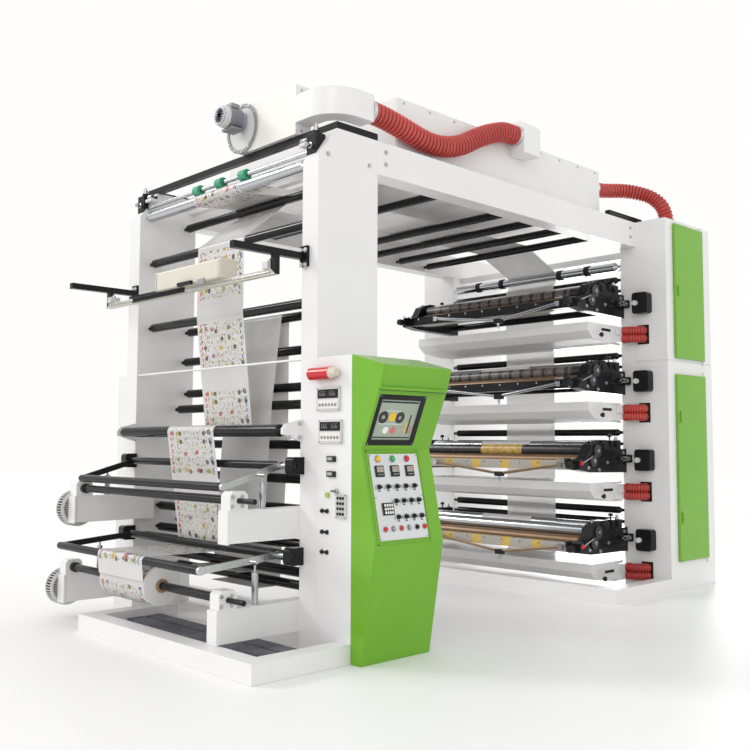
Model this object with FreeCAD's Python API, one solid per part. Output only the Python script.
import FreeCAD, Part
import math
import os

# Flexographic printing press: a winder tower with two rewind stations, an overhead bridge with a
# dryer hood, and a printing tower with four stacked decks. Millimetres. +X runs along the machine
# from the rewind stations to the printing tower, +Y away from the operator's side, +Z up.
# The origin lies on the underside of the front sill, on the machine's centre line.

# Fits and clearances
RUNNING_CLEARANCE = 0.05
SEAT_GAP = 0.3
MOVING_GAP = 6.0
PIN_GAP = 5.0

# Side frames, in plan
CLEAR_WIDTH = 1980.0
WALL_THICKNESS = 150.0
WINDER_DEPTH = 500.0
PASSAGE_LENGTH = 3174.0
PRINT_DEPTH = 794.0
BEAM_HEIGHT = 220.0
CHAMFER_RUN = 147.0
CHAMFER_DROP = 210.0
TIE_SIZE = 60.0
FRONT_TIE_RADIUS = 8.0
FRONT_TIE_INSET = 20.0

# Base
SILL_WIDTH = 120.0
SILL_HEIGHT = 111.0
SILL_REACH = 685.0
SILL_FAR_REACH = 470.0
PRINT_SILL_REACH = 880.0
TREAD_HEIGHT = 60.0
TREAD_WIDTH = 120.0
TREAD_GAP = 20.0
TREAD_INSET = 230.0

# Cabinets
WINDER_CABINET_DEPTH = 310.0
WINDER_CABINET_HEIGHT = 1754.0
WINDER_COVER_DEPTH = 126.0
GEAR_CABINET_DEPTH = 290.0
GEAR_CABINET_FAR_DEPTH = 266.0
CABINET_SHEET = 25.0
CABINET_SEAM = 5.0
DOOR_THICKNESS = 22.0
DOOR_WIDTH = 506.0
DOOR_LAP = 20.0
DOOR_EDGE = 120.0
DOOR_TOP_EDGE = 37.0
DOOR_STEP = 141.0
LOWER_DOOR_BOTTOM = 244.0
LOWER_DOOR_HEIGHT = 1600.0
HINGE_RADIUS = 9.0
HINGE_PIN_RADIUS = 4.0
HINGE_KNUCKLE = 40.0
PANEL_GAP = 5.0
LATCH_LENGTH = 90.0
LATCH_WIDTH = 16.0
LATCH_RISE = 14.0
LATCH_SIDE_INSET = 30.0
LATCH_END_INSET = 370.0

# Console: the heights are drops from the top of the cabinet that carries it
CONSOLE_WIDTH = 562.0
HOOD_REACH = 268.0
HOOD_FRONT_DROP = 72.0
HOOD_LIP_REACH = 232.0
HOOD_LIP_DROP = 192.0
WAIST_REACH = 84.0
WAIST_DROP = 549.0
BELLY_REACH = 196.0
BELLY_DROP = 1083.0
TOE_REACH = 83.0
CONSOLE_ROUNDING = 8.0
SCREEN_LEFT = 20.0
SCREEN_RIGHT = 405.0
SCREEN_LOW_EDGE = 27.0
SCREEN_HIGH_EDGE = 339.0
SCREEN_POCKET = 14.0
BEZEL_BORDER = 32.0
BEZEL_DEPTH = 10.0
PANEL_LEFT = 46.0
PANEL_WIDTH = 392.0
PANEL_LOW_EDGE = 27.0
PANEL_HIGH_EDGE = 520.0
PANEL_THICKNESS = 4.0
LAMP_BUTTON_RADIUS = 17.0
LAMP_BUTTON_LENGTH = 12.0
KNOB_RADIUS = 13.0
KNOB_LENGTH = 20.0
METER_SIZE = 62.0
METER_DEPTH = 8.0

# Instruments on the winder cabinet's front
CONTROLLER_WIDTH = 206.0
CONTROLLER_HEIGHT = 138.0
CONTROLLER_DEPTH = 12.0
METER_BLOCK_WIDTH = 72.0
METER_BLOCK_HEIGHT = 34.0
KEYPAD_WIDTH = 88.0
KEYPAD_HEIGHT = 140.0
TOGGLE_RADIUS = 11.0
TOGGLE_SPREAD = 44.0
ALARM_LAMP_RADIUS = 38.0
ALARM_LAMP_LENGTH = 200.0
ALARM_LAMP_BASE = 50.0
ALARM_LAMP_DROP = 102.0
ALARM_LAMP_PLACE = 173.0

# Rollers
IDLER_RADIUS = 32.0
GUIDE_RADIUS = 38.0
GUIDE_REACH = 115.0
GUIDE_HEIGHT = 1317.0
GUIDE_BRACKET_THICKNESS = 22.0
JOURNAL_RADIUS = 14.0
JOURNAL_LENGTH = 26.0
NOSE_LENGTH = 30.0
WEB_WIDTH = 560.0
WEB_THICKNESS = 2.0
NIP_RADIUS = 40.0
NIP_DROP = 215.0
NIP_INSET = 65.0
PRESS_SHAFT_RADIUS = 16.0
PRESS_RING_RADIUS = 36.0
PRESS_RING_WIDTH = 70.0
NIP_CYLINDER_RADIUS = 24.0

# Rewind stations
ARM_THICKNESS = 90.0
ARM_HEIGHT = 187.0
ARM_SEAT_LENGTH = 120.0
ARM_END_PLATE = 14.0
ARM_END_LIP = 6.0
UPPER_ARM_TIP = 115.0
UPPER_ARM_TOP = 857.0
LOWER_ARM_TIP = 50.0
LOWER_ARM_TOP = 305.0
BEARING_BLOCK_LENGTH = 124.0
BEARING_BLOCK_HEIGHT = 108.0
BEARING_BLOCK_BEVEL = 22.0
SHAFT_RADIUS = 26.0
SHAFT_COLLAR_RADIUS = 34.0
SHAFT_COLLAR_WIDTH = 40.0
SHAFT_STUB_RADIUS = 16.0
SHAFT_STUB_REACH = 150.0
ROLL_RADIUS = 125.0
CORE_RADIUS = 42.0
CORE_OVERHANG = 12.0
LAYON_LEVER_THICKNESS = 18.0
LAYON_LEVER_HEIGHT = 40.0
LAYON_RADIUS = 26.0
PIVOT_RADIUS = 14.0
PIVOT_BLOCK_HEIGHT = 104.0
PIVOT_BLOCK_INNER = 30.0
PIVOT_BLOCK_OUTER = 40.0
STUD_RADIUS = 10.0
LAYON_CYLINDER_RADIUS = 20.0
LAYON_CYLINDER_BORE = 12.0
LAYON_ROD_RADIUS = 7.0
UPPER_CYLINDER_HEIGHT = 145.0
LOWER_CYLINDER_HEIGHT = 185.0
CYLINDER_FLOOR = 8.0
BRAKE_RADIUS = 125.0
BRAKE_THICKNESS = 70.0
BRAKE_RIM = 14.0
BRAKE_HUB_RADIUS = 52.0
BRAKE_HUB_LENGTH = 38.0

# Printing decks
DECK_COUNT = 4
FIRST_DECK_HEIGHT = 421.0
TOP_DECK_DROP = 733.0
BRACKET_THICKNESS = 90.0
BRACKET_INNER = 930.0
BRACKET_FRONT_REACH = 200.0
SCREW_RADIUS = 18.0
SCREW_LENGTH = 80.0
GEAR_BLOCK_LENGTH = 150.0
GEAR_BLOCK_HEIGHT = 74.0
GEAR_BLOCK_CORNER = 12.0
CAP_THICKNESS = 12.0
IMPRESSION_RADIUS = 50.0
PLATE_RADIUS = 52.0
ANILOX_RADIUS = 50.0
KISS_GAP = 1.0
IMPRESSION_REACH = 374.0
IMPRESSION_RISE = 112.0
PLATE_FALL = 32.0
ANILOX_FALL = 84.0
FIRST_IDLER_LIFT = 28.0
IDLER_SPACING = 100.0
DRYER_GAP = 53.0
DRYER_HEIGHT = 170.0
DRYER_LENGTH = 511.0
DRYER_NOSE = 73.0
DRYER_DROP = 187.0
DRYER_PLATE_WIDTH = 70.0
PRINT_WEB_INSET = 23.0
PRINT_NIP_SPACING = 123.0
TURN_ROLLER_RISE = 60.0
STRAIGHT_WEB = 0.002
FLOOR_IDLER_DROP = 240.0
WEB_TAIL = 150.0
TRAY_SHEET = 4.0
TRAY_CLEARANCE = 7.0
INK_BEAM_WIDTH = 64.0
INK_BEAM_HEIGHT = 78.0
HOUSING_SIZE = 184.0
HOUSING_WIDTH = 147.0
HOUSING_DEPTH = 84.0
HOUSING_CORNER = 26.0
HUB_RADIUS = 22.0
HUB_LENGTH = 26.0
DRYER_HOSE_RADIUS = 34.0

# Bridge and air system
BRIDGE_IDLER_SHARES = (0.244, 0.484, 0.61, 0.733, 0.859)
BRIDGE_IDLER_RISE = 45.0
HOOD_START = 325.0
HOOD_END_GAP = 319.0
HOOD_HEIGHT = 420.0
HOOD_EDGE = 10.0
DUCT_RADIUS = 70.0
DUCT_OFFSET = 75.0
DUCT_LEAD = 110.0
DUCT_SAG = 92.0
DUCT_CABINET_INSET = 271.0
SIDE_DUCT_DROP = 130.0
RAIL_SIZE = 45.0
OUTLET_DEPTH = 130.0
OUTLET_INSET = 115.0
OUTLET_NEAR = -768.0
OUTLET_FAR = -242.0
OUTLET_HEIGHT = 333.0
ELBOW_WIDTH = 130.0
ELBOW_HEIGHT = 180.0
ELBOW_BEND = 160.0
ELBOW_END = 475.0
FAN_RADIUS = 172.0
FAN_WIDTH = 150.0
FAN_Y = -190.0
MOTOR_RADIUS = 74.0
MOTOR_LENGTH = 190.0
MOTOR_RISE = 50.0
MOTOR_FINS = 12
HOOD_INLET_SETBACK = 1609.0
HOOD_INLET_LENGTH = 210.0
HOOD_INLET_DROP = 140.0
HOOD_INLET_RISE = 115.0

# Web inspection unit
INSPECTION_DROP = 816.0
INSPECTION_REACH = 540.0
INSPECTION_TUBE = 42.0
INSPECTION_PLATE_HEIGHT = 127.0
INSPECTION_PLATE_WIDTH = 70.0
INSPECTION_PLATE_DEPTH = 20.0
INSPECTION_RAIL_REACH = 225.0
INSPECTION_RAIL_SIZE = 36.0
INSPECTION_HANGER = 81.0
RACK_HEIGHT = 18.0
RACK_START = 262.0
RACK_LENGTH = 437.0
CAMERA_WIDTH = 790.0
CAMERA_DEPTH = 130.0
CAMERA_HEIGHT = 128.0
CAMERA_PLACE = 258.0
CAMERA_CORNER = 14.0

inner = CLEAR_WIDTH / 2
outer = inner + WALL_THICKNESS
winder_front = SILL_REACH - SILL_WIDTH / 2
winder_back = winder_front + WINDER_DEPTH
print_front = winder_back + PASSAGE_LENGTH
print_back = print_front + PRINT_DEPTH
cabinet_near = -outer - WINDER_CABINET_DEPTH
gear_near = -outer - GEAR_CABINET_DEPTH
gear_far = outer + GEAR_CABINET_FAR_DEPTH

# Each deck holds its rollers, two idlers and the dryer of the deck above, which sets the pitch
low_idler_rise = IMPRESSION_RISE + FIRST_IDLER_LIFT
high_idler_rise = low_idler_rise + IDLER_SPACING
dryer_rise = high_idler_rise + IDLER_RADIUS + DRYER_GAP
deck_pitch = dryer_rise + DRYER_HEIGHT + DRYER_DROP
frame_height = FIRST_DECK_HEIGHT + (DECK_COUNT - 1) * deck_pitch + TOP_DECK_DROP
beam_bottom = frame_height - BEAM_HEIGHT
web_gap = WEB_THICKNESS + 2 * SEAT_GAP
web_plane = print_front - PRINT_WEB_INSET
hood_start = winder_back + HOOD_START
hood_end = print_front - HOOD_END_GAP
hood_inlet = print_front - HOOD_INLET_SETBACK

door_left = print_front + DOOR_EDGE
upper_door_bottom = LOWER_DOOR_BOTTOM + LOWER_DOOR_HEIGHT + DOOR_STEP
upper_door_height = frame_height - DOOR_TOP_EDGE - upper_door_bottom
cabinet_joint = upper_door_bottom - PANEL_GAP - HINGE_KNUCKLE / 2
DOORS = (
    ("upper", upper_door_bottom, upper_door_height),
    ("lower", LOWER_DOOR_BOTTOM, LOWER_DOOR_HEIGHT),
)

# Name, arm tip along X, arm top, and the lay-on frame's pivot and tip: how far the pivot lies
# ahead of the side frame and above the arm, and how far the tip lies past the arm's tip and above it
STATIONS = (
    ("upper", UPPER_ARM_TIP, UPPER_ARM_TOP, 65.0, 248.0, 30.0, 128.0, UPPER_CYLINDER_HEIGHT, 249.0),
    ("lower", LOWER_ARM_TIP, LOWER_ARM_TOP, 73.0, 260.0, -52.0, 215.0, LOWER_CYLINDER_HEIGHT, 296.0),
)

# Winder idlers: setback from the side frame's front and drop from its top
WINDER_IDLERS = (
    (407.0, 250.0),
    (104.0, 577.0),
    (103.0, 1080.0),
    (433.0, 1086.0),
    (405.0, 1326.0),
    (433.0, 1575.0),
    (355.0, 1700.0),
    (435.0, 1970.0),
    (127.0, 1880.0),
    (375.0, 2200.0),
)
# Lower winder idlers: setback from the side frame's front and height above the floor
LOWER_IDLERS = (
    (375.0, 640.0),
    (215.0, 420.0),
    (375.0, 300.0),
    (200.0, 760.0),
    (200.0, 600.0),
    (375.0, 800.0),
    (375.0, 480.0),
    (75.0, 540.0),
)


def point(x, y, z):
    return FreeCAD.Vector(x, y, z)


def box(x0, x1, y0, y1, z0, z1):
    """A block between two corners."""
    return Part.makeBox(x1 - x0, y1 - y0, z1 - z0, point(x0, y0, z0))


def prism_y(outline, y0, y1):
    """An outline of (x, z) points, extruded from y0 to y1."""
    wire = Part.makePolygon([point(x, y0, z) for x, z in outline + outline[:1]])
    return Part.Face(wire).extrude(point(0, y1 - y0, 0))


def prism_x(outline, x0, x1):
    """An outline of (y, z) points, extruded from x0 to x1."""
    wire = Part.makePolygon([point(x0, y, z) for y, z in outline + outline[:1]])
    return Part.Face(wire).extrude(point(x1 - x0, 0, 0))


def rod_y(x, z, radius, y0, y1):
    return Part.makeCylinder(radius, y1 - y0, point(x, y0, z), point(0, 1, 0))


def rod_x(y, z, radius, x0, x1):
    return Part.makeCylinder(radius, x1 - x0, point(x0, y, z), point(1, 0, 0))


def rod_z(x, y, radius, z0, z1):
    return Part.makeCylinder(radius, z1 - z0, point(x, y, z0), point(0, 0, 1))


def edges_along(shape, axis):
    """The straight edges that run along an axis given as 'x', 'y' or 'z'."""
    direction = {"x": point(1, 0, 0), "y": point(0, 1, 0), "z": point(0, 0, 1)}[axis]
    found = []
    for edge in shape.Edges:
        run = edge.Vertexes[-1].Point - edge.Vertexes[0].Point
        if run.Length > 0 and abs(run.dot(direction)) > 0.999 * run.Length:
            found.append(edge)
    return found


def turned(x, z, outline):
    """A shape turned about the line through (x, z) along Y, from (y, radius) points."""
    ends = [(outline[0][0], 0.0)] + outline + [(outline[-1][0], 0.0)]
    wire = Part.makePolygon([point(x, y, z + radius) for y, radius in ends + ends[:1]])
    return Part.Face(wire).revolve(point(x, 0, z), point(0, 1, 0), 360)


def roller(x, z, radius, reach, shoulder=None, journal=JOURNAL_RADIUS):
    """A roller on two journals that end at -reach and +reach, with tapered noses."""
    if shoulder is None:
        shoulder = reach - JOURNAL_LENGTH
    body = shoulder - NOSE_LENGTH
    outline = [
        (-reach, journal),
        (-shoulder, journal),
        (-body, radius),
        (body, radius),
        (shoulder, journal),
        (reach, journal),
    ]
    return turned(x, z, outline)


def tube(route, radius):
    """A round tube along a route of points, with an arc at each corner as large as its runs allow."""
    edges = []
    start = route[0]
    for before, corner, after in zip(route, route[1:], route[2:]):
        back = before - corner
        onward = after - corner
        cut = 0.45 * min(back.Length, onward.Length)
        back.normalize()
        onward.normalize()
        half_turn = (math.pi - back.getAngle(onward)) / 2
        bend = cut / math.tan(half_turn)
        inward = (back + onward).normalize()
        enter = corner + back * cut
        leave = corner + onward * cut
        middle = corner + inward * (bend / math.cos(half_turn) - bend)
        edges.append(Part.LineSegment(start, enter).toShape())
        edges.append(Part.Arc(enter, middle, leave).toShape())
        start = leave
    edges.append(Part.LineSegment(start, route[-1]).toShape())
    section = Part.Wire([Part.Circle(route[0], route[1] - route[0], radius).toShape()])
    return Part.Wire(edges).makePipeShell([section], True, False)


def web_edge(stops, shift):
    """One face of a web, as edges in the XZ plane. Each stop is (x, z, radius, turn): the web bends
    round that centre, to its left for turn 1 and to its right for -1. Radius 0 is a free end."""
    edges = []
    last = None
    for here, there in zip(stops, stops[1:]):
        run = math.hypot(there[0] - here[0], there[1] - here[1])
        lean = math.asin((there[3] * there[2] - here[3] * here[2]) / run)
        heading = math.atan2(there[1] - here[1], there[0] - here[0]) - lean
        left = (-math.sin(heading), math.cos(heading))
        ends = []
        for x, z, radius, turn in (here, there):
            offset = turn * radius - shift
            ends.append(point(x - offset * left[0], 0, z - offset * left[1]))
        if last is not None:
            x, z, radius, turn = here
            wrap = web_turn(last[1], heading, turn)
            if STRAIGHT_WEB < wrap < 2 * math.pi - STRAIGHT_WEB:
                middle = heading - turn * wrap / 2 - turn * math.pi / 2
                reach = radius - turn * shift
                crown = point(x + reach * math.cos(middle), 0, z + reach * math.sin(middle))
                edges.append(Part.Arc(last[0], crown, ends[0]).toShape())
        edges.append(Part.LineSegment(ends[0], ends[1]).toShape())
        last = (ends[1], heading)
    return edges


def web_turn(before, after, turn):
    """How far the web's heading turns at a roller, in its own direction of turning."""
    return (turn * (after - before)) % (2 * math.pi)


def web_ribbon(stops):
    """A web of film led over rollers, by tangent runs and by arcs round each roller's face."""
    path = []
    for x, z, radius, turn in stops:
        path.append((x, z, radius + SEAT_GAP + WEB_THICKNESS / 2 if radius else 0.0, turn))
    upper = web_edge(path, WEB_THICKNESS / 2)
    lower = web_edge(path, -WEB_THICKNESS / 2)
    caps = []
    for index in (0, -1):
        caps.append(Part.LineSegment(upper[index].Vertexes[index].Point, lower[index].Vertexes[index].Point).toShape())
    outline = Part.Wire(Part.__sortEdges__(upper + lower + caps))
    ribbon = Part.Face(outline).extrude(point(0, WEB_WIDTH, 0))
    ribbon.translate(point(0, -WEB_WIDTH / 2, 0))
    return ribbon


def both_sides(shape):
    """The shape and its mirror image across the machine's centre line."""
    return [shape, shape.mirror(point(0, 0, 0), point(0, 1, 0))]


def save(name, solids):
    """Write one node, of one solid or of several that do not touch."""
    shape = solids[0] if len(solids) == 1 else Part.makeCompound(solids)
    shape.exportStep("parts/" + name + ".step")


def make_side_frames():
    """The two towers' side walls, with slanted upper corners on the winder, and the bridge beams."""
    winder_outline = [
        (winder_front, 0),
        (winder_back, 0),
        (winder_back, frame_height),
        (winder_front + CHAMFER_RUN, frame_height),
        (winder_front, frame_height - CHAMFER_DROP),
    ]
    save("winder_walls", both_sides(prism_y(winder_outline, -outer, -inner)))
    beam = box(winder_back, print_front, -outer, -inner, beam_bottom, frame_height)
    save("bridge_beams", both_sides(beam))
    save("print_walls", both_sides(box(print_front, print_back, -outer, -inner, 0, frame_height)))


def make_cross_ties():
    """Square ties between the side walls, and the round tie rod across the winder's front."""
    ties = []
    for x, z in (
        (winder_back - TIE_SIZE, frame_height - 2 * TIE_SIZE),
        (winder_back - TIE_SIZE, TIE_SIZE),
        (print_front + 2 * TIE_SIZE, beam_bottom - TIE_SIZE),
        (print_back - 2 * TIE_SIZE, beam_bottom - TIE_SIZE),
        (print_back - 2 * TIE_SIZE, TIE_SIZE),
    ):
        ties.append(box(x, x + TIE_SIZE, -inner, inner, z, z + TIE_SIZE))
    ties.append(rod_y(winder_front + FRONT_TIE_INSET, WINDER_CABINET_HEIGHT, FRONT_TIE_RADIUS, -inner, inner))
    save("cross_ties", ties)


def make_base():
    """The sills that stand on the floor, their side members and the treads between them."""
    front = -SILL_WIDTH / 2
    start = print_front - PRINT_SILL_REACH
    save("base_sills", [
        box(front, -front, cabinet_near, SILL_FAR_REACH, 0, SILL_HEIGHT),
        box(start, start + SILL_WIDTH, gear_near, -gear_near, 0, SILL_HEIGHT),
    ])
    members = []
    for y in (cabinet_near, SILL_FAR_REACH - SILL_WIDTH):
        members.append(box(-front, winder_front, y, y + SILL_WIDTH, 0, SILL_HEIGHT))
    members.extend(both_sides(box(start + SILL_WIDTH, print_front, gear_near, gear_near + SILL_WIDTH,
                                  0, SILL_HEIGHT)))
    save("base_side_members", members)
    treads = []
    for index in range(2):
        x = TREAD_INSET + index * (TREAD_WIDTH + TREAD_GAP)
        treads.append(box(x, x + TREAD_WIDTH, cabinet_near + SILL_WIDTH, SILL_FAR_REACH - SILL_WIDTH,
                          0, TREAD_HEIGHT))
    save("floor_treads", treads)


def make_cabinets():
    """The closed winder housings, and the gear cabinets: the near one is open behind its doors."""
    near = box(winder_front, winder_back, cabinet_near, -outer, 0, WINDER_CABINET_HEIGHT)
    save("winder_cabinet_near", [near])
    far = box(winder_front, winder_back, outer, outer + WINDER_COVER_DEPTH, 0, WINDER_CABINET_HEIGHT)
    far_gears = box(print_front, print_back, outer, gear_far, 0, frame_height)
    seam = box(print_front - 1, print_back + 1, gear_far - CABINET_SEAM, gear_far + 1,
               cabinet_joint, cabinet_joint + CABINET_SEAM)
    save("far_covers", [far, far_gears.cut(seam)])
    shell = box(print_front, print_back, gear_near, -outer, 0, frame_height)
    for name, bottom, height in DOORS:
        shell = shell.cut(box(
            door_left + DOOR_LAP,
            door_left + DOOR_WIDTH - DOOR_LAP,
            gear_near - 1,
            -outer - CABINET_SHEET,
            bottom + DOOR_LAP,
            bottom + height - DOOR_LAP,
        ))
    shell = shell.cut(box(print_front - 1, print_back + 1, gear_near - 1, gear_near + CABINET_SEAM,
                          cabinet_joint, cabinet_joint + CABINET_SEAM))
    shell = shell.cut(box(print_front - 1, print_front + CABINET_SEAM, gear_near - 1, -outer + 1,
                          cabinet_joint, cabinet_joint + CABINET_SEAM))
    for name, bottom, height in DOORS:
        for knuckle in hinge_knuckles(bottom, height):
            shell = shell.fuse(knuckle)
    save("gear_cabinet_near", [shell])


def hinge_place():
    """The hinge axis of both cabinet doors, just past their right edge."""
    return door_left + DOOR_WIDTH, gear_near - PANEL_GAP - DOOR_THICKNESS / 2


def cabinet_door(bottom, height, latch_heights):
    """A flat door with lever latches that hangs on a hinge barrel along its right edge."""
    face = gear_near - PANEL_GAP
    door = box(door_left, door_left + DOOR_WIDTH, face - DOOR_THICKNESS, face, bottom, bottom + height)
    for z in latch_heights:
        left = door_left + LATCH_SIDE_INSET
        latch = box(left, left + LATCH_WIDTH, face - DOOR_THICKNESS - LATCH_RISE, face - DOOR_THICKNESS,
                    z - LATCH_LENGTH / 2, z + LATCH_LENGTH / 2)
        door = door.fuse(latch.makeFillet(LATCH_WIDTH / 4, edges_along(latch, "z")[:2]))
    hinge_x, hinge_y = hinge_place()
    barrel = rod_z(hinge_x, hinge_y, HINGE_RADIUS, bottom, bottom + height)
    bore = rod_z(hinge_x, hinge_y, HINGE_PIN_RADIUS + RUNNING_CLEARANCE, bottom - 1, bottom + height + 1)
    return door.fuse(barrel).cut(bore)


def hinge_knuckles(bottom, height):
    """The fixed knuckles above and below a door, and the pins that they hold."""
    hinge_x, hinge_y = hinge_place()
    knuckles = []
    for low, pin_low in ((bottom - SEAT_GAP - HINGE_KNUCKLE, bottom - SEAT_GAP),
                         (bottom + height + SEAT_GAP, bottom + height + SEAT_GAP - HINGE_KNUCKLE)):
        high = min(low + HINGE_KNUCKLE, frame_height)
        barrel = rod_z(hinge_x, hinge_y, HINGE_RADIUS, low, high)
        ear = box(hinge_x - HINGE_RADIUS, hinge_x + HINGE_RADIUS, hinge_y, gear_near, low, high)
        pin = rod_z(hinge_x, hinge_y, HINGE_PIN_RADIUS, pin_low, pin_low + HINGE_KNUCKLE)
        knuckles.append(barrel.fuse(ear).fuse(pin))
    return knuckles


def make_doors():
    upper_bottom, upper_height = DOORS[0][1:]
    lower_bottom, lower_height = DOORS[1][1:]
    save("cabinet_door_upper", [cabinet_door(upper_bottom, upper_height, [upper_bottom + upper_height / 2])])
    latches = [lower_bottom + LATCH_END_INSET, lower_bottom + lower_height - LATCH_END_INSET]
    save("cabinet_door_lower", [cabinet_door(lower_bottom, lower_height, latches)])


def console_corner(reach, drop):
    """A corner of the console's side outline, as (y, z)."""
    return cabinet_near - reach, WINDER_CABINET_HEIGHT - drop


def on_slope(shape, low, high):
    """Move a shape from its own axes, across, up the slope and out of it, onto a console slope."""
    foot = point(winder_front, low[0], low[1])
    up = (point(0, high[0] - low[0], high[1] - low[1])).normalize()
    across = point(1, 0, 0)
    turn = FreeCAD.Rotation(across, up, across.cross(up), "XYZ")
    moved = shape.copy()
    moved.Placement = FreeCAD.Placement(foot, turn).multiply(moved.Placement)
    return moved


def make_console():
    """The green console: a hood over the screen, a waist, and a belly that carries the panel."""
    lip = console_corner(HOOD_LIP_REACH, HOOD_LIP_DROP)
    waist = console_corner(WAIST_REACH, WAIST_DROP)
    belly = console_corner(BELLY_REACH, BELLY_DROP)
    outline = [
        (cabinet_near, 0),
        (cabinet_near, WINDER_CABINET_HEIGHT),
        console_corner(HOOD_REACH, HOOD_FRONT_DROP),
        lip,
        waist,
        belly,
        (cabinet_near - TOE_REACH, 0),
    ]
    body = prism_x(outline, winder_front, winder_front + CONSOLE_WIDTH)
    hood_edges = []
    for edge in edges_along(body, "x"):
        if edge.Vertexes[0].Point.y < cabinet_near - 1 and edge.Vertexes[0].Point.z > belly[1] - 1:
            hood_edges.append(edge)
    body = body.makeFillet(CONSOLE_ROUNDING, hood_edges)
    pocket = box(SCREEN_LEFT, SCREEN_RIGHT, SCREEN_LOW_EDGE, SCREEN_HIGH_EDGE, -SCREEN_POCKET, SCREEN_POCKET)
    body = body.cut(on_slope(pocket, waist, lip))
    save("console_body", [body])
    bezel = box(SCREEN_LEFT, SCREEN_RIGHT, SCREEN_LOW_EDGE, SCREEN_HIGH_EDGE, -SCREEN_POCKET, 0)
    window = box(SCREEN_LEFT + BEZEL_BORDER, SCREEN_RIGHT - BEZEL_BORDER, SCREEN_LOW_EDGE + BEZEL_BORDER,
                 SCREEN_HIGH_EDGE - BEZEL_BORDER, -BEZEL_DEPTH, 1)
    save("console_screen", [on_slope(bezel.cut(window), waist, lip)])
    panel = box(PANEL_LEFT, PANEL_LEFT + PANEL_WIDTH, PANEL_LOW_EDGE, PANEL_HIGH_EDGE, 0, PANEL_THICKNESS)
    save("console_panel", [on_slope(panel, belly, waist)])
    controls = [on_slope(shape, belly, waist) for shape in panel_controls()]
    save("console_controls", controls)


# Rows of round controls on the panel: height, place of the first, pitch, count, radius, length
CONTROL_ROWS = (
    (491.0, 111.0, 118.0, 3, LAMP_BUTTON_RADIUS, LAMP_BUTTON_LENGTH),
    (330.0, 91.0, 72.0, 5, KNOB_RADIUS, KNOB_LENGTH),
    (246.0, 212.0, 62.0, 4, KNOB_RADIUS, KNOB_LENGTH),
    (154.0, 212.0, 64.0, 4, KNOB_RADIUS, KNOB_LENGTH),
    (90.0, 96.0, 64.0, 6, KNOB_RADIUS, LAMP_BUTTON_LENGTH),
)
METER_ROW_HEIGHT = 420.0
METER_ROW_START = 113.0
METER_PITCH = 123.0
PANEL_KEYPAD_LEFT = 98.0
PANEL_KEYPAD_LOW = 168.0
PANEL_KEYPAD_WIDTH = 82.0
PANEL_KEYPAD_HEIGHT = 70.0


def panel_controls():
    """Lamps, meters, keypad and tapered knobs, standing on the panel in its own axes."""
    controls = []
    for height, first, pitch, count, radius, length in CONTROL_ROWS:
        for index in range(count):
            foot = point(first + index * pitch, height, PANEL_THICKNESS)
            controls.append(Part.makeCone(radius, 0.82 * radius, length, foot, point(0, 0, 1)))
    for index in range(3):
        x = METER_ROW_START + index * METER_PITCH
        controls.append(box(x - METER_SIZE / 2, x + METER_SIZE / 2, METER_ROW_HEIGHT - METER_SIZE / 2,
                            METER_ROW_HEIGHT + METER_SIZE / 2, PANEL_THICKNESS, PANEL_THICKNESS + METER_DEPTH))
    controls.append(box(PANEL_KEYPAD_LEFT, PANEL_KEYPAD_LEFT + PANEL_KEYPAD_WIDTH, PANEL_KEYPAD_LOW,
                        PANEL_KEYPAD_LOW + PANEL_KEYPAD_HEIGHT, PANEL_THICKNESS, PANEL_THICKNESS + METER_DEPTH))
    return controls


# Block instruments on the cabinet: right edge from the near wall's face, top's drop, width, height
BLOCK_INSTRUMENTS = (
    (216.0, 183.0, CONTROLLER_WIDTH, CONTROLLER_HEIGHT),
    (236.0, 375.0, CONTROLLER_WIDTH, CONTROLLER_HEIGHT),
    (177.0, 587.0, METER_BLOCK_WIDTH, METER_BLOCK_HEIGHT),
    (177.0, 675.0, METER_BLOCK_WIDTH, METER_BLOCK_HEIGHT),
    (275.0, 804.0, KEYPAD_WIDTH, KEYPAD_HEIGHT),
)
TOGGLE_DROPS = (909.0, 1031.0, 1147.0)
TOGGLE_PLACE = 82.0
BUTTON_PLACE = 108.0
BUTTON_DROP = 815.0


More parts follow.
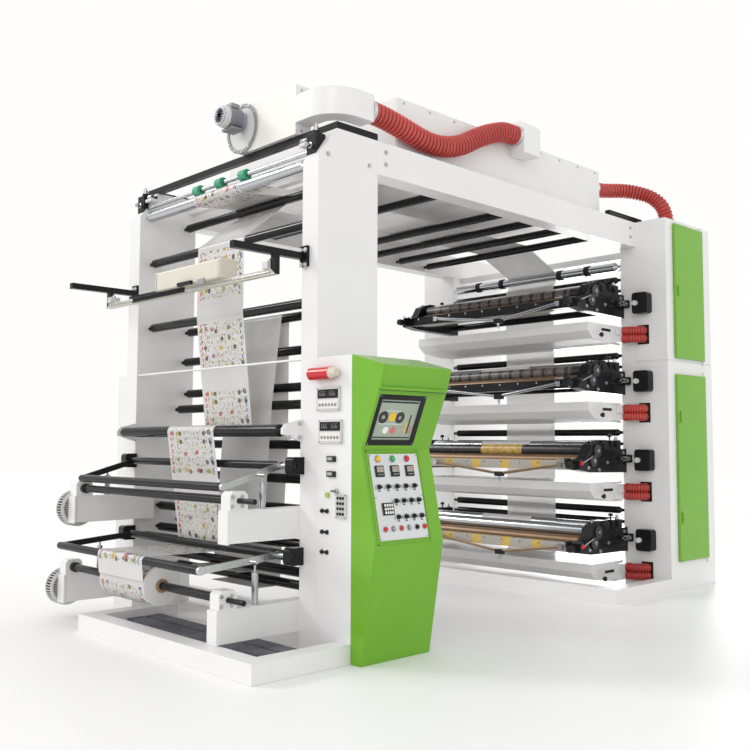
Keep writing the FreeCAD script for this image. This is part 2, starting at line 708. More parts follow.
def make_instruments():
    """Controllers, meters, a keypad, a button and toggle pairs on the winder cabinet's front."""
    shapes = []
    front = winder_front - CONTROLLER_DEPTH
    for edge, drop, width, height in BLOCK_INSTRUMENTS:
        top = WINDER_CABINET_HEIGHT - drop
        y = -outer - edge
        shapes.append(box(front, winder_front, y, y + width, top - height, top))
    for drop in TOGGLE_DROPS:
        for offset in (-TOGGLE_SPREAD / 2, TOGGLE_SPREAD / 2):
            shapes.append(rod_x(-outer - TOGGLE_PLACE + offset, WINDER_CABINET_HEIGHT - drop, TOGGLE_RADIUS,
                                front, winder_front))
    shapes.append(rod_x(-outer - BUTTON_PLACE, WINDER_CABINET_HEIGHT - BUTTON_DROP, KNOB_RADIUS + 3,
                        front, winder_front))
    save("cabinet_instruments", shapes)
    z = WINDER_CABINET_HEIGHT - ALARM_LAMP_DROP
    x = winder_front - ALARM_LAMP_RADIUS
    near = -outer - ALARM_LAMP_PLACE
    far = near + ALARM_LAMP_LENGTH
    lamp = turned(x, z, [
        (near - ALARM_LAMP_BASE, 0.6 * ALARM_LAMP_RADIUS),
        (near, 0.95 * ALARM_LAMP_RADIUS),
        (near, ALARM_LAMP_RADIUS),
        (far - 0.5 * ALARM_LAMP_RADIUS, ALARM_LAMP_RADIUS),
        (far - 0.15 * ALARM_LAMP_RADIUS, 0.75 * ALARM_LAMP_RADIUS),
        (far, 0.35 * ALARM_LAMP_RADIUS),
    ])
    foot = box(x, winder_front, near - ALARM_LAMP_BASE / 2, near + ALARM_LAMP_BASE / 2,
               z - 0.6 * ALARM_LAMP_RADIUS, z + 0.6 * ALARM_LAMP_RADIUS)
    save("alarm_lamp", [lamp.fuse(foot)])


def shaft_place(tip, top):
    """The rewind shaft's axis, as (x, z), in the middle of the bearing block on an arm."""
    return tip + BEARING_BLOCK_LENGTH / 2, top + BEARING_BLOCK_HEIGHT / 2


def make_rewind_arms():
    """Box arms with an end plate, seated along the walls, and split bearing blocks on their tips."""
    arms = []
    for station in STATIONS:
        tip, top = station[1:3]
        bottom = top - ARM_HEIGHT
        arm = box(tip, winder_front + ARM_SEAT_LENGTH, -inner, -inner + ARM_THICKNESS, bottom, top)
        end = box(tip - ARM_END_PLATE, tip, -inner, -inner + ARM_THICKNESS + ARM_END_LIP,
                  bottom - ARM_END_LIP, top)
        block_outline = [
            (tip, top),
            (tip + BEARING_BLOCK_LENGTH, top),
            (tip + BEARING_BLOCK_LENGTH, top + BEARING_BLOCK_HEIGHT - BEARING_BLOCK_BEVEL),
            (tip + BEARING_BLOCK_LENGTH - BEARING_BLOCK_BEVEL, top + BEARING_BLOCK_HEIGHT),
            (tip + BEARING_BLOCK_BEVEL, top + BEARING_BLOCK_HEIGHT),
            (tip, top + BEARING_BLOCK_HEIGHT - BEARING_BLOCK_BEVEL),
        ]
        block = prism_y(block_outline, -inner, -inner + ARM_THICKNESS)
        x, z = shaft_place(tip, top)
        hole = rod_y(x, z, SHAFT_STUB_RADIUS + RUNNING_CLEARANCE, -inner - 1, -inner + ARM_THICKNESS + 1)
        arms.extend(both_sides(arm.fuse(end).fuse(block).cut(hole).removeSplitter()))
    save("rewind_arms", arms)


def make_rewind_shafts():
    """The two rewind shafts with their collars, and the roll of web on its core on the lower one."""
    for station in STATIONS:
        x, z = shaft_place(station[1], station[2])
        face = inner - ARM_THICKNESS - SEAT_GAP
        collar = face - SHAFT_COLLAR_WIDTH
        save("rewind_shaft_" + station[0], [turned(x, z, [
            (-inner - SHAFT_STUB_REACH, SHAFT_STUB_RADIUS),
            (-face, SHAFT_STUB_RADIUS),
            (-face, SHAFT_COLLAR_RADIUS),
            (-collar, SHAFT_COLLAR_RADIUS),
            (-collar, SHAFT_RADIUS),
            (collar, SHAFT_RADIUS),
            (collar, SHAFT_COLLAR_RADIUS),
            (face, SHAFT_COLLAR_RADIUS),
            (face, SHAFT_STUB_RADIUS),
            (inner, SHAFT_STUB_RADIUS),
        ])])
    x, z = shaft_place(LOWER_ARM_TIP, LOWER_ARM_TOP)
    half = WEB_WIDTH / 2
    core_half = half + CORE_OVERHANG
    roll = rod_y(x, z, ROLL_RADIUS, -half, half).cut(rod_y(x, z, CORE_RADIUS, -half - 1, half + 1))
    core = rod_y(x, z, CORE_RADIUS, -core_half, core_half)
    save("paper_roll", [roll])
    save("roll_core", [core.cut(rod_y(x, z, SHAFT_RADIUS, -core_half - 1, core_half + 1))])


def make_brakes():
    """A powder brake on the far end of each arm pair: a rimmed disc with a stepped hub."""
    brakes = []
    for station in STATIONS:
        tip, top = station[1:3]
        outline = [
            (inner, 0.8 * BRAKE_RADIUS),
            (inner + BRAKE_RIM, 0.8 * BRAKE_RADIUS),
            (inner + BRAKE_RIM, BRAKE_RADIUS),
            (inner + BRAKE_THICKNESS, BRAKE_RADIUS),
            (inner + BRAKE_THICKNESS, 0.85 * BRAKE_RADIUS),
            (inner + BRAKE_THICKNESS + BRAKE_RIM, 0.8 * BRAKE_RADIUS),
            (inner + BRAKE_THICKNESS + BRAKE_RIM, BRAKE_HUB_RADIUS),
            (inner + BRAKE_THICKNESS + BRAKE_HUB_LENGTH, BRAKE_HUB_RADIUS),
        ]
        brakes.append(turned(tip + BEARING_BLOCK_LENGTH / 2, top - ARM_HEIGHT / 2, outline))
    save("powder_brakes", brakes)


def layon_places(station):
    """The lay-on frame's pivot and tip, the lift cylinder's X and the height of the stud it pushes."""
    name, tip, top, pivot_inset, pivot_rise, tip_inset, tip_rise, height, cylinder_setback = station
    pivot_x = winder_front - pivot_inset
    pivot_z = top + pivot_rise
    tip_x = tip + tip_inset
    tip_z = top + tip_rise
    stud_x = winder_front - cylinder_setback
    share = (stud_x - tip_x) / (pivot_x - tip_x)
    return pivot_x, pivot_z, tip_x, tip_z, stud_x, tip_z + share * (pivot_z - tip_z)


def make_layon():
    """Lay-on frames of two rollers and two levers, with their pivot blocks, cylinders and rods."""
    lever_face = inner - ARM_THICKNESS - ARM_END_LIP - MOVING_GAP
    reach = lever_face - LAYON_LEVER_THICKNESS
    stud_y = inner - ARM_THICKNESS / 2
    blocks = []
    cylinders = []
    for station in STATIONS:
        pivot_x, pivot_z, tip_x, tip_z, stud_x, stud_z = layon_places(station)
        top = station[2]
        height = station[7]
        run = math.hypot(tip_x - pivot_x, tip_z - pivot_z)
        lean = math.degrees(math.atan2(pivot_z - tip_z, pivot_x - tip_x))
        half = LAYON_LEVER_HEIGHT / 2
        lever = box(0, run, -lever_face, -reach, -half, half)
        for x in (0, run):
            lever = lever.fuse(rod_y(x, 0, half + 4, -lever_face, -reach))
        lever.rotate(point(0, 0, 0), point(0, 1, 0), -lean)
        lever.translate(point(tip_x, 0, tip_z))
        frame = rod_y(pivot_x, pivot_z, LAYON_RADIUS, -reach, reach)
        frame = frame.fuse(rod_y(tip_x, tip_z, LAYON_RADIUS, -reach, reach))
        stud = rod_y(stud_x, stud_z, STUD_RADIUS, -stud_y - 2 * STUD_RADIUS, -reach)
        pin = rod_y(pivot_x, pivot_z, PIVOT_RADIUS, -inner - PIVOT_BLOCK_OUTER / 2, -reach)
        for part in both_sides(lever) + both_sides(stud) + both_sides(pin):
            frame = frame.fuse(part)
        save("layon_frame_" + station[0], [frame])
        block = box(pivot_x - PIVOT_BLOCK_INNER, winder_front, -inner - PIVOT_BLOCK_OUTER,
                    -inner + PIVOT_BLOCK_INNER, pivot_z - PIVOT_BLOCK_HEIGHT / 2, pivot_z + PIVOT_BLOCK_HEIGHT / 2)
        block = block.makeFillet(0.8 * PIVOT_BLOCK_INNER, edges_along(block, "y")[:2])
        blocks.extend(both_sides(block.cut(rod_y(pivot_x, pivot_z, PIVOT_RADIUS + RUNNING_CLEARANCE,
                                                 -inner - PIVOT_BLOCK_OUTER - 1, -inner + PIVOT_BLOCK_INNER + 1))))
        cylinder = rod_z(stud_x, -stud_y, LAYON_CYLINDER_RADIUS, top, top + height)
        cylinder = cylinder.cut(rod_z(stud_x, -stud_y, LAYON_CYLINDER_BORE, top + CYLINDER_FLOOR,
                                      top + height - CYLINDER_FLOOR))
        cylinder = cylinder.cut(rod_z(stud_x, -stud_y, LAYON_ROD_RADIUS + RUNNING_CLEARANCE,
                                      top + height - CYLINDER_FLOOR - 1, top + height + 1))
        cylinders.extend(both_sides(cylinder))
        rod = rod_z(stud_x, -stud_y, LAYON_ROD_RADIUS, top + 2 * CYLINDER_FLOOR, stud_z - STUD_RADIUS - PIN_GAP)
        save("layon_rods_" + station[0], both_sides(rod))
    save("layon_blocks", blocks)
    save("layon_cylinders", cylinders)


def winder_idler(index):
    setback, drop = WINDER_IDLERS[index]
    return winder_front + setback, frame_height - drop, IDLER_RADIUS


def lower_idler(index):
    setback, height = LOWER_IDLERS[index]
    return winder_front + setback, height, IDLER_RADIUS


def bridge_idler(index):
    return winder_back + BRIDGE_IDLER_SHARES[index] * PASSAGE_LENGTH, beam_bottom + BRIDGE_IDLER_RISE, IDLER_RADIUS


def print_idler(deck, rise):
    """An idler behind the print tower's web."""
    return web_plane + SEAT_GAP + WEB_THICKNESS / 2 + IDLER_RADIUS, deck_height(deck) + rise, IDLER_RADIUS


def print_nip():
    """The nip roller above the top deck."""
    x = web_plane + SEAT_GAP + WEB_THICKNESS / 2 + IDLER_RADIUS
    return x, deck_height(DECK_COUNT - 1) + high_idler_rise + PRINT_NIP_SPACING, NIP_RADIUS


def make_idlers():
    """All the fixed idlers that lead the web, and the front guide roller on its brackets."""
    places = [winder_idler(index) for index in range(len(WINDER_IDLERS))]
    places.extend(lower_idler(index) for index in range(len(LOWER_IDLERS)))
    places.append((winder_front - GUIDE_REACH, GUIDE_HEIGHT, GUIDE_RADIUS))
    places.extend(bridge_idler(index) for index in range(len(BRIDGE_IDLER_SHARES)))
    for deck in range(DECK_COUNT):
        for rise in (low_idler_rise, high_idler_rise):
            places.append(print_idler(deck, rise))
    places.append(print_idler(0, -FLOOR_IDLER_DROP))
    places.append(print_nip())
    idlers = [roller(x, z, radius, inner) for x, z, radius in places]
    save("web_idlers", idlers)
    x = winder_front - GUIDE_REACH
    z = GUIDE_HEIGHT
    outline = [
        (winder_front, z - 1.8 * GUIDE_RADIUS),
        (winder_front, z + 1.8 * GUIDE_RADIUS),
        (x - 0.3 * GUIDE_RADIUS, z + GUIDE_RADIUS),
        (x - GUIDE_RADIUS, z + 0.3 * GUIDE_RADIUS),
        (x - GUIDE_RADIUS, z - 0.6 * GUIDE_RADIUS),
    ]
    bracket = prism_y(outline, -inner - GUIDE_BRACKET_THICKNESS, -inner)
    save("guide_brackets", both_sides(bracket))


def make_nip():
    """The chrome nip roller at the winder's top, and the press shaft with its rubber rings."""
    x = winder_front + NIP_INSET
    z = frame_height - NIP_DROP
    shaft_z = z + NIP_RADIUS + web_gap + PRESS_RING_RADIUS
    shaft = rod_y(x, shaft_z, PRESS_SHAFT_RADIUS, -inner, inner)
    for y in (-WEB_WIDTH / 2, 0.0, WEB_WIDTH / 2):
        shaft = shaft.fuse(rod_y(x, shaft_z, PRESS_RING_RADIUS, y - PRESS_RING_WIDTH / 2, y + PRESS_RING_WIDTH / 2))
    save("nip_rollers", [roller(x, z, NIP_RADIUS, inner), shaft])
    slope = CHAMFER_DROP / CHAMFER_RUN
    low = x - 1.6 * NIP_CYLINDER_RADIUS
    high = x + 1.6 * NIP_CYLINDER_RADIUS
    foot = frame_height - CHAMFER_DROP
    cap = foot + (high - winder_front) * slope + NIP_CYLINDER_RADIUS
    outline = [
        (low, foot + (low - winder_front) * slope),
        (high, foot + (high - winder_front) * slope),
        (high, cap),
        (low, cap),
    ]
    clamp = prism_y(outline, -inner - 0.6 * WALL_THICKNESS, -inner)
    clamp = clamp.fuse(rod_z(x, -inner - 0.3 * WALL_THICKNESS, NIP_CYLINDER_RADIUS, cap, cap + NIP_CYLINDER_RADIUS))
    save("nip_clamps", both_sides(clamp))


def deck_height(index):
    return FIRST_DECK_HEIGHT + index * deck_pitch


def deck_rollers(index):
    """The axes of a deck's impression, plate and anilox rollers, each as (x, z)."""
    impression_x = print_front - IMPRESSION_REACH
    impression_z = deck_height(index) + IMPRESSION_RISE
    plate_span = IMPRESSION_RADIUS + web_gap + PLATE_RADIUS
    plate_x = impression_x - math.sqrt(plate_span ** 2 - PLATE_FALL ** 2)
    plate_z = impression_z - PLATE_FALL
    anilox_span = PLATE_RADIUS + KISS_GAP + ANILOX_RADIUS
    anilox_x = plate_x - math.sqrt(anilox_span ** 2 - ANILOX_FALL ** 2)
    anilox_z = plate_z - ANILOX_FALL
    return (impression_x, impression_z), (plate_x, plate_z), (anilox_x, anilox_z)


def turn_roller(index, rise):
    """A roller in the brackets that turns the web out to the impression roller, or back down."""
    x = web_plane - SEAT_GAP - WEB_THICKNESS / 2 - IDLER_RADIUS
    return x, deck_height(index) + rise, IDLER_RADIUS


def deck_bracket(index):
    """A deck's side bracket, with seats for its three rollers, held on the print wall's front."""
    z = deck_height(index)
    impression, plate, anilox = deck_rollers(index)
    front = anilox[0] - BRACKET_FRONT_REACH
    shelf = low_idler_rise - IDLER_RADIUS - 2 * MOVING_GAP
    outline = [
        (print_front, z - 110),
        (print_front, z + shelf),
        (impression[0] + 2.4 * IMPRESSION_RADIUS, z + shelf),
        (impression[0] + 1.2 * IMPRESSION_RADIUS, impression[1] + 1.2 * IMPRESSION_RADIUS),
        (impression[0] - 1.2 * IMPRESSION_RADIUS, impression[1] + 1.2 * IMPRESSION_RADIUS),
        (plate[0] - 1.4 * PLATE_RADIUS, plate[1] + PLATE_RADIUS),
        (anilox[0] - 1.6 * ANILOX_RADIUS, anilox[1] + 0.6 * ANILOX_RADIUS),
        (front, z),
        (front, z - INK_BEAM_HEIGHT),
        (anilox[0] - ANILOX_RADIUS, z - 100),
    ]
    bracket_outer = BRACKET_INNER + BRACKET_THICKNESS
    bracket = prism_y(outline, -bracket_outer, -BRACKET_INNER)
    seats = [impression, plate, anilox]
    seats.extend(turn_roller(index, TURN_ROLLER_RISE - drop)[:2] for drop in (0, IDLER_SPACING))
    for bore_x, bore_z in seats:
        bracket = bracket.cut(rod_y(bore_x, bore_z, JOURNAL_RADIUS + RUNNING_CLEARANCE,
                                    -bracket_outer - 1, -BRACKET_INNER + 1))
    return bracket


def deck_fittings(index):
    """What a deck's near bracket carries: a front screw with its knob, a gear block and a bearing cap."""
    z = deck_height(index)
    impression, plate, anilox = deck_rollers(index)
    front = anilox[0] - BRACKET_FRONT_REACH
    bracket_outer = BRACKET_INNER + BRACKET_THICKNESS
    middle = -BRACKET_INNER - BRACKET_THICKNESS / 2
    screw_z = z - INK_BEAM_HEIGHT / 2
    screw = rod_x(middle, screw_z, SCREW_RADIUS, front - SCREW_LENGTH, front)
    screw = screw.fuse(rod_x(middle, screw_z, 1.7 * SCREW_RADIUS, front - SCREW_LENGTH, front - 0.7 * SCREW_LENGTH))
    shelf = z + low_idler_rise - IDLER_RADIUS - 2 * MOVING_GAP
    left = impression[0] + 3 * IMPRESSION_RADIUS
    block = box(left, left + GEAR_BLOCK_LENGTH, -bracket_outer + MOVING_GAP, -BRACKET_INNER - MOVING_GAP,
                shelf, shelf + GEAR_BLOCK_HEIGHT)
    block = block.makeFillet(GEAR_BLOCK_CORNER, edges_along(block, "z"))
    block = block.fuse(rod_y(left + GEAR_BLOCK_LENGTH / 2, shelf + GEAR_BLOCK_HEIGHT / 2, 0.35 * GEAR_BLOCK_HEIGHT,
                             -bracket_outer - GEAR_BLOCK_CORNER, middle))
    cap = rod_y(impression[0], impression[1], 1.1 * IMPRESSION_RADIUS, -bracket_outer - CAP_THICKNESS, -bracket_outer)
    cap = cap.fuse(rod_y(impression[0], impression[1], 0.5 * IMPRESSION_RADIUS,
                         -bracket_outer - 2 * CAP_THICKNESS, -bracket_outer))
    return [screw, block, cap]


def ink_tray(index):
    """A bent sheet trough under the anilox roller, closed at both ends."""
    x, z = deck_rollers(index)[2]
    depth = ANILOX_RADIUS + TRAY_CLEARANCE
    outer_half = depth + TRAY_SHEET
    outer_outline = [
        (x - 1.5 * outer_half, z - 0.2 * ANILOX_RADIUS),
        (x - 0.7 * outer_half, z - outer_half),
        (x + 0.7 * outer_half, z - outer_half),
        (x + 1.1 * outer_half, z - 0.5 * ANILOX_RADIUS),
    ]
    inner_outline = [
        (x - 1.5 * outer_half + 2 * TRAY_SHEET, z - 0.2 * ANILOX_RADIUS + 1),
        (x - 0.7 * outer_half + TRAY_SHEET, z - depth),
        (x + 0.7 * outer_half - TRAY_SHEET, z - depth),
        (x + 1.1 * outer_half - 2 * TRAY_SHEET, z - 0.5 * ANILOX_RADIUS + 1),
    ]
    trough = prism_y(outer_outline, -BRACKET_INNER, BRACKET_INNER)
    return trough.cut(prism_y(inner_outline, -BRACKET_INNER + TRAY_SHEET, BRACKET_INNER - TRAY_SHEET))


def ink_beam(index):
    """The black beam across a deck's front."""
    x = deck_rollers(index)[2][0] - BRACKET_FRONT_REACH
    z = deck_height(index)
    return box(x, x + INK_BEAM_WIDTH, -BRACKET_INNER, BRACKET_INNER, z - INK_BEAM_HEIGHT, z)


def deck_dryer(index):
    """The long dryer box below a deck, on plates that hold it to the print walls."""
    top = deck_height(index) - DRYER_DROP
    bottom = top - DRYER_HEIGHT
    back = print_front - PRINT_WEB_INSET - 2 * MOVING_GAP
    front = print_front - PRINT_WEB_INSET - DRYER_LENGTH
    outline = [
        (back, bottom),
        (back, top),
        (front, top),
        (front, top - DRYER_NOSE),
        (front + DRYER_NOSE, bottom + 0.2 * DRYER_HEIGHT),
        (back - 2 * DRYER_NOSE, bottom),
    ]
    dryer = prism_y(outline, -inner, inner)
    plate = box(back - 2 * DRYER_NOSE, print_front, -inner - DRYER_PLATE_WIDTH, -inner,
                bottom + 0.1 * DRYER_HEIGHT, top - 0.1 * DRYER_HEIGHT)
    for part in both_sides(plate):
        dryer = dryer.fuse(part)
    return dryer


def drive_housing(index):
    """A rounded gear housing on the print tower's near front edge, with a hub cap."""
    z = deck_height(index)
    y = -outer - HOUSING_WIDTH / 2 - PANEL_GAP
    housing = box(print_front - HOUSING_DEPTH, print_front, y - HOUSING_WIDTH / 2, y + HOUSING_WIDTH / 2,
                  z - HOUSING_SIZE / 2, z + HOUSING_SIZE / 2)
    housing = housing.makeFillet(HOUSING_CORNER, edges_along(housing, "x"))
    hub = rod_x(y + HOUSING_WIDTH / 4, z, HUB_RADIUS, print_front - HOUSING_DEPTH - HUB_LENGTH,
                print_front - HOUSING_DEPTH)
    return housing.fuse(hub)


def dryer_hoses(index):
    """Two short hoses, one above the other, from a dryer's near end round into the gear cabinet."""
    x = print_front - PRINT_WEB_INSET - 2 * DRYER_HOSE_RADIUS
    y0 = -inner - DRYER_PLATE_WIDTH
    y1 = -outer - 2 * DRYER_HOSE_RADIUS
    middle = deck_height(index) - DRYER_DROP - DRYER_HEIGHT / 2
    hoses = []
    for offset in (-DRYER_HOSE_RADIUS - 1, DRYER_HOSE_RADIUS + 1):
        route = [point(x, y0, middle + offset), point(x, y1, middle + offset), point(print_front, y1, middle + offset)]
        hoses.append(tube(route, DRYER_HOSE_RADIUS))
    return hoses


def make_decks():
    """The four printing decks, each with three rollers, brackets, a tray, a dryer and its drive."""
    bracket_outer = BRACKET_INNER + BRACKET_THICKNESS
    shoulder = BRACKET_INNER - MOVING_GAP
    impressions = []
    turns = []
    fittings = []
    brackets = []
    trays = []
    beams = []
    dryers = []
    housings = []
    hoses = []
    for index in range(DECK_COUNT):
        impression, plate, anilox = deck_rollers(index)
        impressions.append(roller(impression[0], impression[1], IMPRESSION_RADIUS, bracket_outer, shoulder))
        for drop in (0, IDLER_SPACING):
            x, z, radius = turn_roller(index, TURN_ROLLER_RISE - drop)
            turns.append(roller(x, z, radius, bracket_outer, shoulder))
        save("plate_cylinder_%d" % (index + 1),
             [roller(plate[0], plate[1], PLATE_RADIUS, bracket_outer, shoulder)])
        save("anilox_roller_%d" % (index + 1),
             [roller(anilox[0], anilox[1], ANILOX_RADIUS, bracket_outer, shoulder)])
        brackets.extend(both_sides(deck_bracket(index)))
        for fitting in deck_fittings(index):
            fittings.extend(both_sides(fitting))
        trays.append(ink_tray(index))
        beams.append(ink_beam(index))
        dryers.append(deck_dryer(index))
        housings.append(drive_housing(index))
        hoses.extend(dryer_hoses(index))
    save("impression_cylinders", impressions)
    save("turn_rollers", turns)
    save("deck_brackets", brackets)
    save("deck_fittings", fittings)
    save("ink_trays", trays)
    save("ink_beams", beams)
    save("deck_dryers", dryers)
    save("drive_housings", housings)
    save("dryer_hoses", hoses)


def winder_nip():
    return winder_front + NIP_INSET, frame_height - NIP_DROP, NIP_RADIUS


def make_web():
    """The film: down through the decks from the bridge to the roll, and the return web behind."""
    guide = (winder_front - GUIDE_REACH, GUIDE_HEIGHT, GUIDE_RADIUS)
    pivot_x, pivot_z, tip_x, tip_z = layon_places(STATIONS[1])[:4]
    pivot_side = pivot_x + LAYON_RADIUS + SEAT_GAP + WEB_THICKNESS / 2
    route = [(pivot_side, pivot_z + MOVING_GAP, 0.0, 1)]
    route.append(guide + (-1,))
    route.append(winder_idler(8) + (1,))
    route.append(winder_idler(2) + (-1,))
    route.append(winder_idler(1) + (-1,))
    route.append(winder_idler(0) + (1,))
    route.append(winder_nip() + (-1,))
    for index in range(len(BRIDGE_IDLER_SHARES)):
        route.append(bridge_idler(index) + (-1,))
    route.append(print_nip() + (-1,))
    for deck in reversed(range(DECK_COUNT)):
        impression_x, impression_z = deck_rollers(deck)[0]
        route.append(print_idler(deck, high_idler_rise) + (1,))
        route.append(print_idler(deck, low_idler_rise) + (1,))
        route.append(turn_roller(deck, TURN_ROLLER_RISE) + (-1,))
        route.append((impression_x, impression_z, IMPRESSION_RADIUS, 1))
        route.append(turn_roller(deck, TURN_ROLLER_RISE - IDLER_SPACING) + (-1,))
    route.append(print_idler(0, -FLOOR_IDLER_DROP) + (1,))
    route.append((route[-1][0] + WEB_TAIL, route[-1][1] - IDLER_RADIUS - SEAT_GAP - WEB_THICKNESS / 2, 0.0, 1))
    low = IDLER_RADIUS + SEAT_GAP + WEB_THICKNESS / 2
    x, z = lower_idler(2)[:2]
    back_route = [(x - WEB_TAIL, z - low, 0.0, 1)]
    back_route.append(lower_idler(2) + (1,))
    back_route.extend(winder_idler(index) + (1,) for index in (7, 3, 6))
    back_route.append(lower_idler(1) + (-1,))
    x, z = lower_idler(1)[:2]
    back_route.append((x - WEB_TAIL, z - low, 0.0, 1))
    save("web_film", [web_ribbon(route), web_ribbon(back_route)])
    roll_x, roll_z = shaft_place(LOWER_ARM_TIP, LOWER_ARM_TOP)
    save("web_at_roll", [web_ribbon([
        (pivot_side, pivot_z + SEAT_GAP, 0.0, 1),
        (pivot_x, pivot_z, LAYON_RADIUS, -1),
        (tip_x, tip_z, LAYON_RADIUS, 1),
        (roll_x - ROLL_RADIUS - PIN_GAP, roll_z + 0.3 * ROLL_RADIUS, 0.0, 1),
    ])])


def make_hood():
    """The dryer hood on the bridge, and the box that leads the duct over its near edge."""
    top = frame_height + HOOD_HEIGHT
    hood = box(hood_start, hood_end, -inner, inner, frame_height, top)
    hood = hood.makeChamfer(HOOD_EDGE, edges_along(hood, "z"))
    near = -inner - 2 * DUCT_OFFSET
    outline = [
        (-inner, top - HOOD_INLET_DROP),
        (near, top - HOOD_INLET_DROP),
        (near, top + 0.7 * HOOD_INLET_RISE),
        (near + 0.3 * HOOD_INLET_RISE, top + HOOD_INLET_RISE),
        (-inner + HOOD_INLET_RISE, top + HOOD_INLET_RISE),
        (-inner + HOOD_INLET_RISE, top),
        (-inner, top),
    ]
    save("dryer_hood", [hood.fuse(prism_x(outline, hood_inlet, hood_inlet + HOOD_INLET_LENGTH)).removeSplitter()])


def make_blower():
    """The blower on the winder tower: finned motor, fan scroll, outlet box and rectangular elbow."""
    base = frame_height + RAIL_SIZE
    front = winder_front + OUTLET_INSET
    outlet = box(front, front + OUTLET_DEPTH, OUTLET_NEAR, OUTLET_FAR, base, base + OUTLET_HEIGHT)
    centre_x = front + OUTLET_DEPTH - ELBOW_WIDTH / 2
    centre_y = -inner - DUCT_OFFSET
    low = base + (OUTLET_HEIGHT - ELBOW_HEIGHT) / 2
    axis_x = centre_x + ELBOW_BEND
    axis_y = centre_y + ELBOW_BEND
    run = box(centre_x - ELBOW_WIDTH / 2, centre_x + ELBOW_WIDTH / 2, axis_y, OUTLET_NEAR, low, low + ELBOW_HEIGHT)
    section = Part.makePolygon([
        point(centre_x - ELBOW_WIDTH / 2, axis_y, low),
        point(centre_x + ELBOW_WIDTH / 2, axis_y, low),
        point(centre_x + ELBOW_WIDTH / 2, axis_y, low + ELBOW_HEIGHT),
        point(centre_x - ELBOW_WIDTH / 2, axis_y, low + ELBOW_HEIGHT),
        point(centre_x - ELBOW_WIDTH / 2, axis_y, low),
    ])
    bend = Part.Face(section).revolve(point(axis_x, axis_y, 0), point(0, 0, 1), 90)
    tail = box(axis_x, winder_front + ELBOW_END, centre_y - ELBOW_WIDTH / 2, centre_y + ELBOW_WIDTH / 2,
               low, low + ELBOW_HEIGHT)
    outlet = outlet.fuse(run).fuse(bend).fuse(tail).removeSplitter()
    save("blower_outlet", [outlet])
    fan_front = front + (OUTLET_DEPTH - FAN_WIDTH) / 2
    fan_z = base + FAN_RADIUS
    fan = rod_x(FAN_Y, fan_z, FAN_RADIUS, fan_front, fan_front + FAN_WIDTH)
    motor_z = fan_z + MOTOR_RISE
    motor_front = fan_front - MOTOR_LENGTH
    motor = rod_x(FAN_Y, motor_z, 0.86 * MOTOR_RADIUS, motor_front, fan_front)
    pitch = 0.6 * MOTOR_LENGTH / MOTOR_FINS
    for index in range(MOTOR_FINS):
        x = motor_front + 0.25 * MOTOR_LENGTH + index * pitch
        motor = motor.fuse(rod_x(FAN_Y, motor_z, MOTOR_RADIUS, x, x + 0.5 * pitch))
    fan = fan.fuse(motor).cut(outlet)
    save("blower_fan", [fan])


def make_ducts():
    """The two round ducts: from the blower's elbow up to the hood, and from the hood to the cabinet."""
    y = -inner - DUCT_OFFSET
    start = winder_front + ELBOW_END
    elbow_z = frame_height + RAIL_SIZE + OUTLET_HEIGHT / 2
    end = hood_inlet
    top = frame_height + HOOD_HEIGHT
    run = end - start
    main_route = [
        point(start, y, elbow_z),
        point(start + DUCT_LEAD, y, elbow_z),
        point(start + 0.21 * run, y, elbow_z - 0.4 * DUCT_SAG),
        point(start + 0.39 * run, y, elbow_z - DUCT_SAG),
        point(start + 0.57 * run, y, elbow_z - 0.4 * DUCT_SAG),
        point(start + 0.73 * run, y, elbow_z + 1.2 * DUCT_SAG),
        point(start + 0.88 * run, y, top - 0.1 * DUCT_SAG),
        point(end - DUCT_LEAD, y, top),
        point(end, y, top),
    ]
    cabinet_x = print_front + DUCT_CABINET_INSET
    cabinet_y = -outer - GEAR_CABINET_DEPTH / 2
    leave_y = -inner + DUCT_OFFSET
    across = cabinet_x - hood_end
    side_route = [
        point(hood_end, leave_y, top - SIDE_DUCT_DROP),
        point(hood_end + 0.19 * across, leave_y, top - SIDE_DUCT_DROP),
        point(hood_end + 0.46 * across, leave_y - 35, top - 0.8 * SIDE_DUCT_DROP),
        point(hood_end + 0.73 * across, leave_y - 125, top - 0.74 * SIDE_DUCT_DROP),
        point(hood_end + 0.95 * across, leave_y - 265, top - 1.15 * SIDE_DUCT_DROP),
        point(cabinet_x, cabinet_y, frame_height + SIDE_DUCT_DROP),
        point(cabinet_x, cabinet_y, frame_height),
    ]
    save("air_ducts", [tube(main_route, DUCT_RADIUS), tube(side_route, 0.85 * DUCT_RADIUS)])


def make_guard_rail():
    """The square guard rail on the winder tower, and the short rail at the printing tower."""
    start = winder_front + CHAMFER_RUN
    base = frame_height
    rail = box(start, start + RAIL_SIZE, -outer, outer, base, base + RAIL_SIZE)
    for side in both_sides(box(start, winder_back, -outer, -outer + RAIL_SIZE, base, base + RAIL_SIZE)):
        rail = rail.fuse(side)
    short = box(hood_end - 2 * RAIL_SIZE, print_front + DOOR_EDGE, -outer, -outer + RAIL_SIZE, base, base + RAIL_SIZE)
    save("top_guard_rail", [rail.removeSplitter(), short])


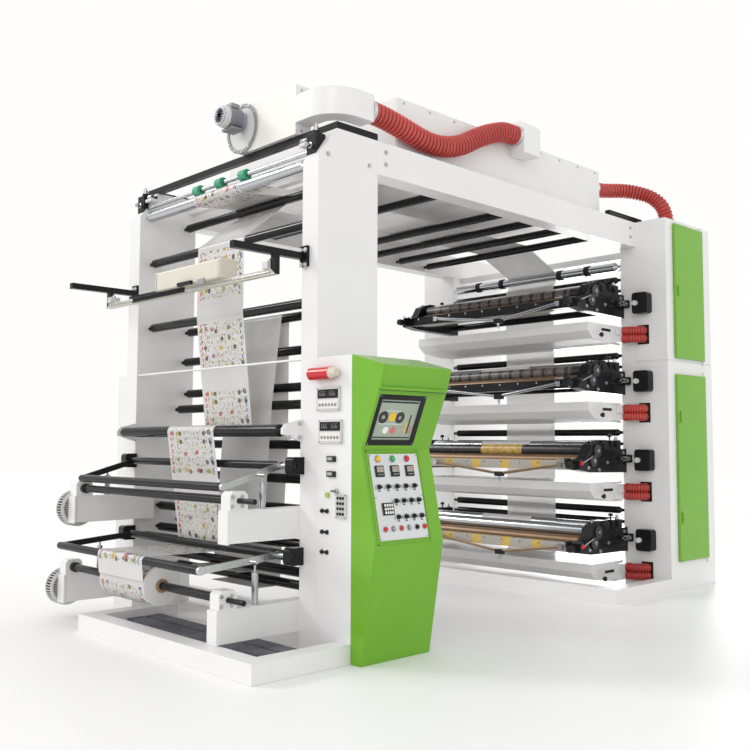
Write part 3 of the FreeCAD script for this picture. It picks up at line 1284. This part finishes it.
def make_inspection_unit():
    """The web inspection unit in front of the winder: two arms, a rail with a rack, and a camera."""
    z = frame_height - INSPECTION_DROP
    tip = winder_front - INSPECTION_REACH
    plate = box(winder_front - INSPECTION_PLATE_DEPTH, winder_front, -inner - INSPECTION_PLATE_WIDTH, -inner,
                z - INSPECTION_PLATE_HEIGHT / 2, z + INSPECTION_PLATE_HEIGHT / 2)
    arm = box(tip, winder_front - INSPECTION_PLATE_DEPTH, -inner - INSPECTION_TUBE, -inner,
              z - INSPECTION_TUBE / 2, z + INSPECTION_TUBE / 2)
    rail_x = winder_front - INSPECTION_RAIL_REACH
    rail_top = z - INSPECTION_TUBE / 2 - INSPECTION_HANGER
    reach = inner + INSPECTION_TUBE
    rail_left = rail_x - INSPECTION_RAIL_SIZE / 2
    rail_right = rail_x + INSPECTION_RAIL_SIZE / 2
    frame = box(rail_left, rail_right, -reach, reach, rail_top - INSPECTION_RAIL_SIZE, rail_top)
    for hanger in both_sides(box(rail_left, rail_right, -reach, -inner, rail_top, z - INSPECTION_TUBE / 2)):
        frame = frame.fuse(hanger)
    frame = frame.fuse(box(rail_x - RACK_HEIGHT, rail_x + RACK_HEIGHT, RACK_START, RACK_START + RACK_LENGTH,
                           rail_top, rail_top + RACK_HEIGHT))
    for part in both_sides(plate.fuse(arm)):
        frame = frame.fuse(part)
    save("inspection_frame", [frame.removeSplitter()])
    body = box(rail_x - CAMERA_DEPTH / 2, rail_x + CAMERA_DEPTH / 2, CAMERA_PLACE - CAMERA_WIDTH, CAMERA_PLACE,
               rail_top, rail_top + CAMERA_HEIGHT)
    body = body.makeFillet(CAMERA_CORNER, edges_along(body, "y"))
    save("inspection_camera", [body])


os.makedirs("parts", exist_ok=True)
make_side_frames()
make_cross_ties()
make_base()
make_cabinets()
make_doors()
make_console()
make_instruments()
make_rewind_arms()
make_rewind_shafts()
make_brakes()
make_layon()
make_idlers()
make_nip()
make_decks()
make_web()
make_hood()
make_blower()
make_ducts()
make_guard_rail()
make_inspection_unit()
